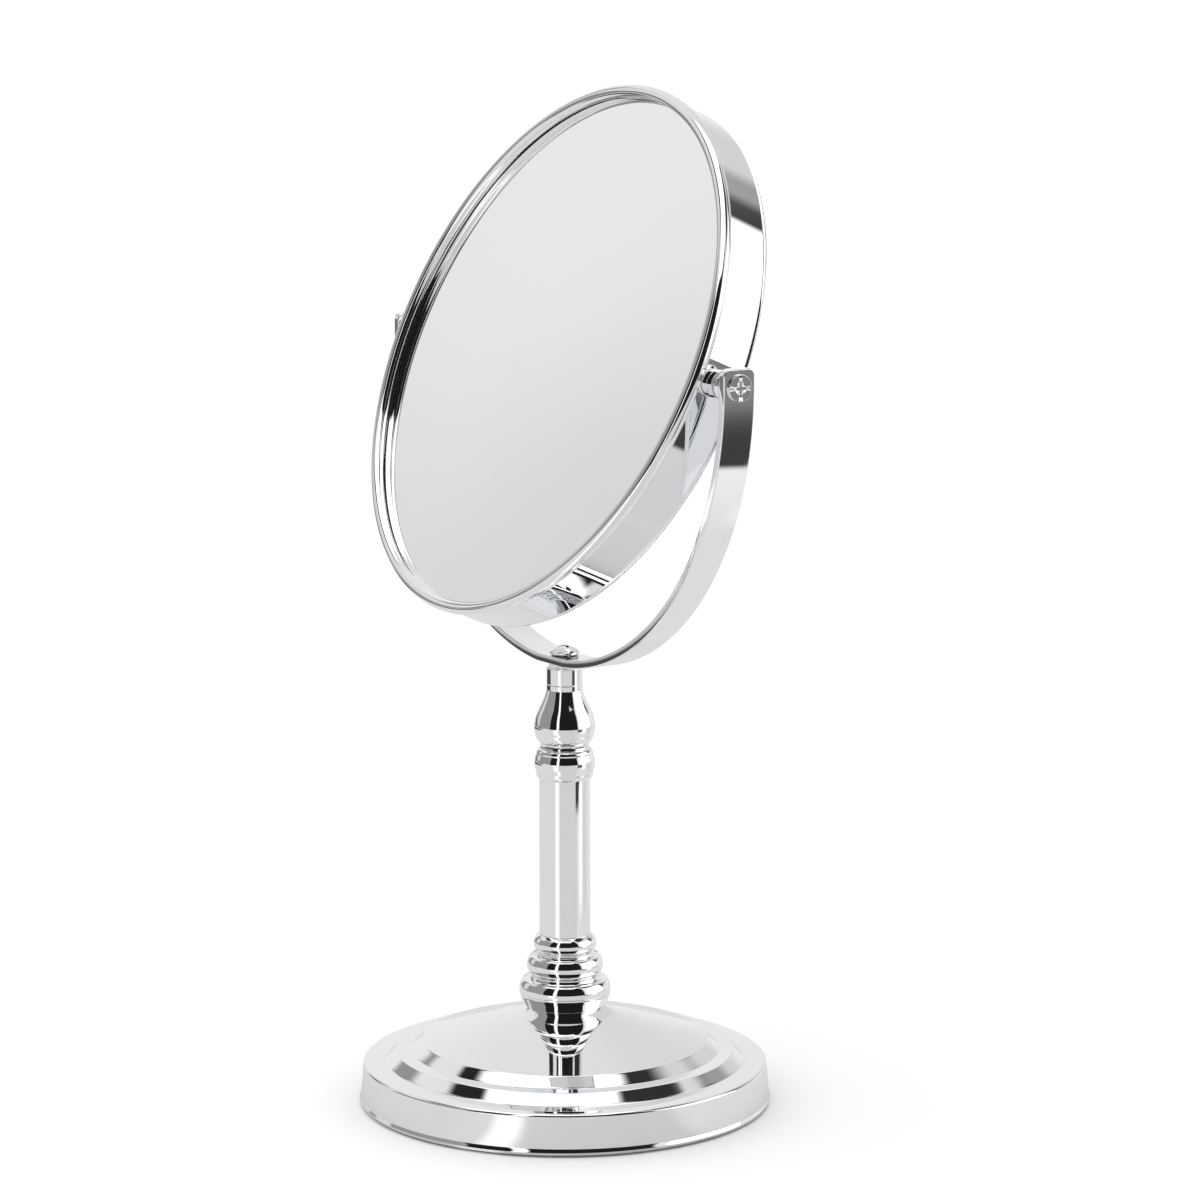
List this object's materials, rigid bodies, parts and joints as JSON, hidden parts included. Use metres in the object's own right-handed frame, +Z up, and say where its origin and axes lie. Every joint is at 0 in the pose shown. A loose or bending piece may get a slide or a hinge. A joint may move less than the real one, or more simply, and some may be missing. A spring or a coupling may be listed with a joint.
{
  "type": "pedestal shaving mirror",
  "caption": "Round double-sided shaving mirror that tilts in a half-ring yoke on a telescopic turned column with a weighted round foot.",
  "frame": {"origin": "centre of the foot's underside", "axes": "+Z up along the column, +X along the tilt pivots, the plain mirror faces -Y tipped up 24 degrees"},
  "size_m": [0.223, 0.1496, 0.3669],
  "materials": {
    "chrome": "bright polished chrome plate",
    "mirror_glass": "silvered glass, clean",
    "iron": "raw casting, hidden in the foot",
    "steel": "zinc-plated, hidden",
    "brass": "machined, hidden",
    "nylon": "natural nylon",
    "pad": "black felt",
    "gasket": "thin black ring between glass and bezel",
    "board": "packing board between the two glasses"
  },
  "bodies": {
    "stand": {"base_shell": "chrome", "base_weight": "iron", "base_cover": "steel", "base_pad": "pad", "stud_washer": "steel", "stud_nut": "steel", "base_stud": "steel", "ring_collar": "chrome", "column_tube": "chrome", "tube_plug": "brass", "bead_collar": "chrome", "guide_bush": "nylon"},
    "slider": {"inner_tube": "chrome", "slide_ring": "nylon", "bell_cap": "chrome", "neck_cap": "chrome", "screw_insert": "brass", "swivel_washer": "nylon", "wave_washer": "steel", "yoke_screw": "chrome"},
    "yoke": {"yoke_strap": "chrome", "right_pivot_pin": "chrome", "right_tilt_washer": "nylon", "right_pivot_spacer": "chrome", "left_pivot_pin": "chrome", "left_tilt_washer": "nylon", "left_pivot_spacer": "chrome"},
    "head": {"right_pivot_lug": "chrome", "left_pivot_lug": "chrome", "head_band": "chrome", "front_bezel": "chrome", "back_bezel": "chrome", "plain_glass": "mirror_glass", "magnifying_glass": "mirror_glass", "front_gasket": "gasket", "back_gasket": "gasket", "glass_core": "board"}
  },
  "joints": [
    {"name": "column_extend", "type": "slide", "parent": "stand", "child": "slider", "axis": [0, 0, 1], "range_m": [0, 0.045]},
    {"name": "yoke_swivel", "type": "hinge", "parent": "slider", "child": "yoke", "pos_m": [0, 0, 0.162], "axis": [0, 0, 1], "continuous": true},
    {"name": "head_tilt", "type": "hinge", "parent": "yoke", "child": "head", "pos_m": [0, 0, 0.2718], "axis": [1, 0, 0], "continuous": true}
  ]
}
